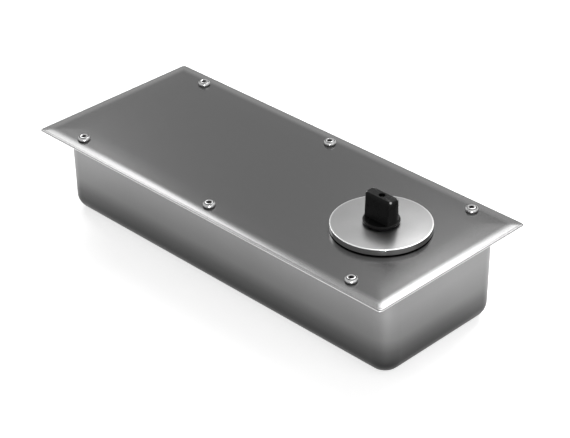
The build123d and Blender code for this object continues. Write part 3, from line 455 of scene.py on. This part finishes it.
head_radius = 5.25
head_height = 3.3
hex_half = 2.0
shank = 3.0
head_profile = ((shank, -10.0), (shank, 0.0), (head_radius - 0.15, 0.0), (head_radius, 0.15),
                (head_radius, 0.55), (5.22, 1.1), (5.1, 1.65), (4.88, 2.15), (4.55, 2.55),
                (4.15, 2.85), (3.7, 3.08), (3.2, 3.24), (2.7, head_height))
head_rings = [round_ring(radius, z, 48) for radius, z in head_profile]
head_rings += [even_ring(6, apothem, head_height - depth, 48) for apothem, depth in
               ((hex_half + 0.15, 0.28), (hex_half, 0.45), (hex_half, 2.1))]
head_rings.append(round_ring(0.3, head_height - 2.5, 48))
screw_skins = []
for index, (x, y) in enumerate(screw_places):
    turn = math.radians(17 + 47 * index)
    spin = np.array([[math.cos(turn), math.sin(turn), 0], [-math.sin(turn), math.cos(turn), 0], [0, 0, 1]])
    points, faces = skin(head_rings)
    screw_skins.append((points @ spin + np.array([x, y, 0]), faces))
cover_screws = piece("plate_screws", screw_skins, "housing", ["cover_screws"])

screw_finish = Finish("screw_steel")
cloud = screw_finish.noise(400, 2)
row = screw_finish.axis("X") - (middle_x - 0.5 * screw_pitch) * mm
row = screw_finish.node("ShaderNodeMath", {"operation": "FLOORED_MODULO"}, {0: row, 1: screw_pitch * mm})
row = row - 0.5 * screw_pitch * mm
column = screw_finish.axis("Y").size() - screw_side * mm
spread = screw_finish.node("ShaderNodeMath", {"operation": "POWER"}, {0: row * row + column * column, 1: 0.5})
# The head is painted in rings: the dark socket and dark ring are painted shade, the bright rings painted
# highlights.
screw_light_and_shade = screw_finish.ramp(spread * (1 / (head_radius * mm)), (
    (0.0, 0.02), (0.36, 0.03), (0.42, 0.42), (0.58, 0.42),
    (0.66, 0.05), (0.76, 0.06), (0.84, 0.48), (1.0, 0.4)))
screw_steel = screw_finish.wear(
    Base_Color=screw_finish.shade(screw_light_and_shade * (0.85 + 0.3 * cloud)),
    Roughness=0.2 + 0.1 * cloud,
    Metallic=1.0,
)
coat(cover_screws, screw_steel)


# Dust disc: a turned stainless disc, brushed on top with a polished edge. The edge and the outer
# ring of the top are painted lighter as a painted highlight. It hides the opening round the shaft
# and turns with the spindle, clear of the plate.

disc_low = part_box("dust_disc")[0][2] / mm
skirt_depth = 0.8
skirt_low = disc_low - skirt_depth
disc_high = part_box("dust_disc")[1][2] / mm
disc_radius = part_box("dust_disc")[1][0] / mm
disc_chamfer = 0.35
disc_crown = 0.5
disc_edge = disc_high - disc_crown
socket_half = 7.0
recess = (18.0, 21.5)
recess_depth = 2
crown_start = 15.6
disc_profile = [(recess[1], disc_low + recess_depth), (recess[1], disc_low),
                (disc_radius - 2.5, disc_low), (disc_radius - 2.0, skirt_low),
                (disc_radius - 0.4, skirt_low), (disc_radius, skirt_low + 0.4)]
disc_profile += arc((disc_radius - disc_chamfer, disc_edge - disc_chamfer), disc_chamfer, 0, 88, 6)
disc_rings = [even_ring(4, socket_half, disc_high, 144), even_ring(4, socket_half, disc_low, 144),
              round_ring(recess[0], disc_low, 144), round_ring(recess[0], disc_low + recess_depth, 144)]
disc_rings += [round_ring(radius, z, 144) for radius, z in disc_profile]
for radius in np.linspace(disc_radius - 1.2, crown_start, 7):
    fall = ((radius - crown_start) / (disc_radius - 16.2)) ** 2
    disc_rings.append(round_ring(radius, disc_high - disc_crown * fall, 144))
disc_rings.append(even_ring(4, socket_half, disc_high, 144))
dust_disc = piece("cover_disc", [skin(disc_rings, False)], "spindle", ["dust_disc"])

disc_finish = Finish("turned_disc")
radius_here = disc_finish.reach()
# The edge is polished, so it is smoother; its lighter colour and the line along its top are a painted
# highlight.
rim_share = ((radius_here - (disc_radius - disc_chamfer) * mm) * 4000).clamped()
highlight_line = rim_share * ((disc_finish.axis("Z") - (disc_edge - disc_chamfer) * mm) * 6000).clamped()
rings_pattern = disc_finish.node(
    "ShaderNodeTexNoise", {"noise_dimensions": "1D"}, {"W": radius_here * 1500, "Scale": 1.0, "Detail": 3.0})
cloud = disc_finish.noise(45, 4)
# A lighter ring round the outside of the top: a painted highlight.
rim_highlight = ((radius_here - (disc_radius - 1.1) * mm) * 2500).clamped()
top_tone = 0.205 + 0.05 * cloud + 0.03 * rings_pattern + 0.25 * rim_highlight
edge_tone = 0.5 + 0.3 * highlight_line
turned_disc = disc_finish.wear(
    Base_Color=disc_finish.shade(top_tone + (edge_tone - top_tone) * rim_share),
    Roughness=0.27 + 0.02 * cloud - 0.14 * rim_share,
    Metallic=1.0,
    Normal=disc_finish.bump(rings_pattern, 0.02, 0.00008),
)
coat(dust_disc, turned_disc)


# Spindle insert: the exchangeable flat-conical spindle in black-oxided steel. A round collar sits
# on the disc, the body is a round bar with two flats that draw together, and the top is drilled.

insert_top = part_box("spindle_insert")[1][2] / mm
collar_top = disc_high + 3.4
collar_radius = 14.6
body_radius = 13.4
flat_base = 6.4
flat_top = 4.8
insert_bore = 2.5


def body_ring(radius, flat, z, count=144):
    """A circle flattened to a half thickness: the smaller of its height and the flat, blended by
    adding both to a high negative power and taking the root."""
    angle = np.linspace(0, 2 * np.pi, count, endpoint=False)
    height = np.maximum(np.abs(radius * np.sin(angle)), 1e-6)
    blend = 26.0
    side = (height ** -blend + flat ** -blend) ** (-1 / blend)
    return np.stack([radius * np.cos(angle), np.sign(np.sin(angle)) * side, np.full_like(angle, z)], -1)


tang_half = socket_half - 0.02
tang_low = disc_low - 14.5
insert_rings = [even_ring(4, tang_half, tang_low, 144), even_ring(4, tang_half, disc_high, 144)]
insert_rings += [round_ring(radius, z, 144) for radius, z in
                 ((collar_radius - 1.5, disc_high), (collar_radius - 1.4, disc_high + 0.1),
                  (collar_radius - 0.6, disc_high + 1.0), (collar_radius - 0.1, disc_high + 1.8),
                  (collar_radius, disc_high + 2.2), (collar_radius, disc_high + 2.6),
                  (collar_radius - 0.25, disc_high + 3.0), (body_radius + 0.35, collar_top - 0.1),
                  (body_radius + 0.2, collar_top))]
for level in np.linspace(0, 1, 6):
    z = collar_top + level * (insert_top - 0.8 - collar_top)
    flat = flat_base + level * (flat_top - flat_base)
    insert_rings.append(body_ring(body_radius + 0.2 * (1 - level), flat, z))
for inset, drop in ((0.1, 0.42), (0.3, 0.16), (0.6, 0.0)):
    insert_rings.append(body_ring(body_radius - inset, flat_top - inset, insert_top - drop))
screw_bore = 2.4
insert_rings += [round_ring(radius, z, 144) for radius, z in
                 ((insert_bore + 0.3, insert_top), (insert_bore, insert_top - 0.3),
                  (insert_bore, insert_top - 7.0), (screw_bore, insert_top - 7.0), (screw_bore, tang_low))]
insert_rings.append(insert_rings[0])
insert = piece("flat_spindle", [skin(insert_rings, False)], "spindle", ["spindle_insert"])
insert_finish = Finish("black_oxide")
cloud = insert_finish.noise(120, 4)
grain = insert_finish.noise(2500, 2)
# Light spots at the four top corners: worn oxide and a painted highlight.
wear_and_highlight = 0.0
for corner_x, corner_y in ((12.6, -4.0), (12.6, 4.0), (-12.6, 4.0), (-12.6, -4.0)):
    wear_and_highlight = wear_and_highlight + 0.5 * insert_finish.near((corner_x, corner_y, insert_top - 0.2), 1.3)
black_oxide = insert_finish.wear(
    Base_Color=insert_finish.shade(0.003 + 0.003 * cloud + wear_and_highlight),
    Roughness=0.22 + 0.12 * cloud,
    Specular_IOR_Level=0.08,
    Normal=insert_finish.bump(grain, 0.08, 0.0001),
)
coat(insert, black_oxide)


# Cable gland: a black moulded fitting on the box's far end, with a hexagon against the pad and a
# ribbed cap that grips the supply cable.

gland_bore = 4.5
gland_cap = 9.6
cap_rings = [round_ring(radius, height) for radius, height in
             ((gland_bore, -12.0), (7.9, -12.0), (8.0, -11.8), (8.0, 0.0))]
cap_rings += [even_ring(6, apothem, height) for apothem, height in
              ((10.8, 0.0), (11.0, 0.3), (11.0, 4.6), (10.6, 5.0))]
cap_rings.append(round_ring(gland_cap - 0.3, 5.0))
angle = np.linspace(0, 2 * np.pi, 96, endpoint=False)
rib_count = 24
rib = 0.25 * np.clip(np.cos(rib_count * angle) * 2, -1, 1) - 0.25
for height, depth in ((5.0, 0.0), (5.6, 0.0), (6.2, 1.0), (12.4, 1.0), (13.0, 0.0), (14.0, 0.0)):
    radius = gland_cap + rib * depth
    level = np.full_like(angle, height)
    cap_rings.append(np.stack([radius * np.cos(angle), radius * np.sin(angle), level], -1))
cap_rings += [round_ring(radius, height) for radius, height in
              ((9.0, 15.6), (8.1, 17.0), (7.2, 17.85), (6.8, 18.0), (gland_bore + 0.4, 18.0),
               (gland_bore, 17.6), (gland_bore, -12.0))]
gland = piece("cable_gland", [skin(sideways(cap_rings), False)], "housing", ["gland_body"])
gland_finish = Finish("gland_plastic")
cloud = gland_finish.noise(200, 3)
grain = gland_finish.noise(1800, 2)
coat(gland, gland_finish.wear(
    Base_Color=gland_finish.mix(cloud, grey(0.02), grey(0.032)),
    Roughness=0.42 + 0.12 * cloud,
    Normal=gland_finish.bump(grain, 0.1, 0.0001),
))


# The drive inside the box: castings, steel shafts and gears, bearings, motor and junction box.
# They are machined or moulded parts that show only with the cover off, each with its own finish.

def plain_finish(name, low, high, roughness, metallic, scale=150, colour=(1, 1, 1), grit=0.06):
    """A finish with cloudy colour between two levels and a fine surface grain."""
    finish = Finish(name)
    cloud = finish.noise(scale, 3)
    grain = finish.noise(2200, 2)
    first = tuple(low * part for part in colour) + (1,)
    second = tuple(high * part for part in colour) + (1,)
    return finish.wear(
        Base_Color=finish.mix(cloud, first, second),
        Roughness=roughness + 0.12 * cloud,
        Metallic=metallic,
        Normal=finish.bump(grain, grit, 0.0001),
    )


slot_finish = {
    "rubber": plain_finish("seal_rubber", 0.02, 0.035, 0.6, 0.0),
    "zinc_steel": plain_finish("zinc_steel", 0.5, 0.66, 0.3, 0.9),
    "cast_alloy": plain_finish("cast_alloy", 0.5, 0.62, 0.45, 0.9, 90, grit=0.2),
    "gear_steel": plain_finish("gear_steel", 0.42, 0.55, 0.25, 1.0),
    "bearing_steel": plain_finish("bearing_steel", 0.62, 0.75, 0.15, 1.0),
    "motor_paint": plain_finish("motor_paint", 0.03, 0.045, 0.35, 0.1),
    "lamination": plain_finish("lamination", 0.12, 0.2, 0.5, 0.7),
    "magnet": plain_finish("magnet", 0.08, 0.12, 0.5, 0.3),
    "copper": plain_finish("copper_wire", 0.45, 0.6, 0.3, 0.9, 900, (1.0, 0.42, 0.2)),
    "bronze": plain_finish("bronze", 0.4, 0.5, 0.4, 0.9, 300, (1.0, 0.62, 0.3)),
    "board": plain_finish("board", 0.1, 0.14, 0.3, 0.0, 300, (0.2, 1.0, 0.45)),
    "black_plastic": plain_finish("black_plastic", 0.022, 0.032, 0.42, 0.0),
    "grey_plastic": plain_finish("grey_plastic", 0.34, 0.4, 0.45, 0.0),
    "stainless": brushed_plate,
    "screw_steel": screw_steel,
    "box_grey": box_paint,
    "black_steel": black_oxide,
}
for subpart in frame["record"]["subparts"]:
    coat(nodes[subpart["node"]], slot_finish[subpart["material_slot"]])


# Studio: a pale floor under the box, a white room and large soft lamps, seen from the angle that
# the photograph was taken at.

floor_half = 12
floor_level = (box_bottom - 0.2) * mm
floor_corners = [(x * floor_half, y * floor_half, floor_level)
                 for x, y in ((-1, -1), (1, -1), (1, 1), (-1, 1))]
floor_mesh = bpy.data.meshes.new("studio_floor")
floor_mesh.from_pydata(floor_corners, [], [(0, 1, 2, 3)])
floor = bpy.data.objects.new("studio_floor", floor_mesh)
bpy.context.scene.collection.objects.link(floor)


def seen_share(tree):
    """1 where the camera sees the surface directly, in a mirror or through glass, otherwise 0."""
    path = tree.nodes.new("ShaderNodeLightPath")
    share = path.outputs["Is Camera Ray"]
    for ray in ("Is Glossy Ray", "Is Transmission Ray"):
        larger = tree.nodes.new("ShaderNodeMath")
        larger.operation = "MAXIMUM"
        tree.links.new(share, larger.inputs[0])
        tree.links.new(path.outputs[ray], larger.inputs[1])
        share = larger.outputs[0]
    return share


floor_material = bpy.data.materials.new("studio_floor")
floor_material.use_nodes = True
tree = floor_material.node_tree
shader = tree.nodes["Principled BSDF"]
shader.inputs["Roughness"].default_value = 0.8
shader.inputs["Specular IOR Level"].default_value = 0.0
seen = seen_share(tree)
shade = tree.nodes.new("ShaderNodeMix")
shade.data_type = "RGBA"
shade.inputs[6].default_value = grey(0.4)
shade.inputs[7].default_value = grey(0.9)
tree.links.new(seen, shade.inputs["Factor"])
tree.links.new(shade.outputs[2], shader.inputs["Base Color"])
shader.inputs["Emission Color"].default_value = grey(1.0)
glow = tree.nodes.new("ShaderNodeMath")
glow.operation = "MULTIPLY"
glow.inputs[1].default_value = 0.66
tree.links.new(seen, glow.inputs[0])
tree.links.new(glow.outputs[0], shader.inputs["Emission Strength"])
coat(floor, floor_material)

world = bpy.data.worlds.new("studio")
bpy.context.scene.world = world
world.use_nodes = True
tree = world.node_tree
background = tree.nodes["Background"]
seen = seen_share(tree)
strength = tree.nodes.new("ShaderNodeMapRange")
strength.inputs["To Min"].default_value = 0.26
strength.inputs["To Max"].default_value = 1.0
tree.links.new(seen, strength.inputs["Value"])
tree.links.new(strength.outputs[0], background.inputs["Strength"])
background.inputs["Color"].default_value = grey(1.0)


def soft_lamp(name, place, aim, size, power):
    """A square area lamp at a place, turned towards a point."""
    data = bpy.data.lights.new(name, "AREA")
    data.size = size
    data.energy = power
    lamp = bpy.data.objects.new(name, data)
    bpy.context.scene.collection.objects.link(lamp)
    lamp.location = place
    lamp.rotation_mode = "QUATERNION"
    lamp.rotation_quaternion = (Vector(aim) - Vector(place)).to_track_quat("-Z", "Y")


centre = (-0.12, 0.0, -0.02)
soft_lamp("back_lamp", (-0.22, 0.74, 1.04), (0.05, 0.0, 0.0), 0.75, 12.5)
soft_lamp("left_lamp", (-1.22, 0.385, 1.09), centre, 0.63, 6.6)
soft_lamp("right_lamp", (1.5, 0.1, 0.6), centre, 1.5, 5)
soft_lamp("corner_lamp", (1.7, -1.55, 0.02), centre, 0.4, 70)

azimuth = math.radians(45.38)
elevation = math.radians(31.77)
roll = -0.0135
distance = 1.4086
aim_right = -0.0737
aim_up = 0.0072
focal_pixels = 1841.0
picture_width = 570
back = Vector((
    math.sin(azimuth) * math.cos(elevation), -math.cos(azimuth) * math.cos(elevation), math.sin(elevation)))
level_right = Vector((math.cos(azimuth), math.sin(azimuth), 0))
level_up = back.cross(level_right)
right = math.cos(roll) * level_right + math.sin(roll) * level_up
up = -math.sin(roll) * level_right + math.cos(roll) * level_up
camera_data = bpy.data.cameras.new("camera")
camera_data.sensor_width = 36.0
camera_data.lens = focal_pixels / picture_width * camera_data.sensor_width
camera_data.clip_start = 0.05
camera_data.clip_end = 50
camera = bpy.data.objects.new("camera", camera_data)
bpy.context.scene.collection.objects.link(camera)
place = back * distance + right * aim_right + up * aim_up
camera.matrix_world = Matrix([
    (right.x, up.x, back.x, place.x),
    (right.y, up.y, back.y, place.y),
    (right.z, up.z, back.z, place.z),
    (0, 0, 0, 1),
])
bpy.context.scene.camera = camera
bpy.context.scene.view_settings.view_transform = "Standard"
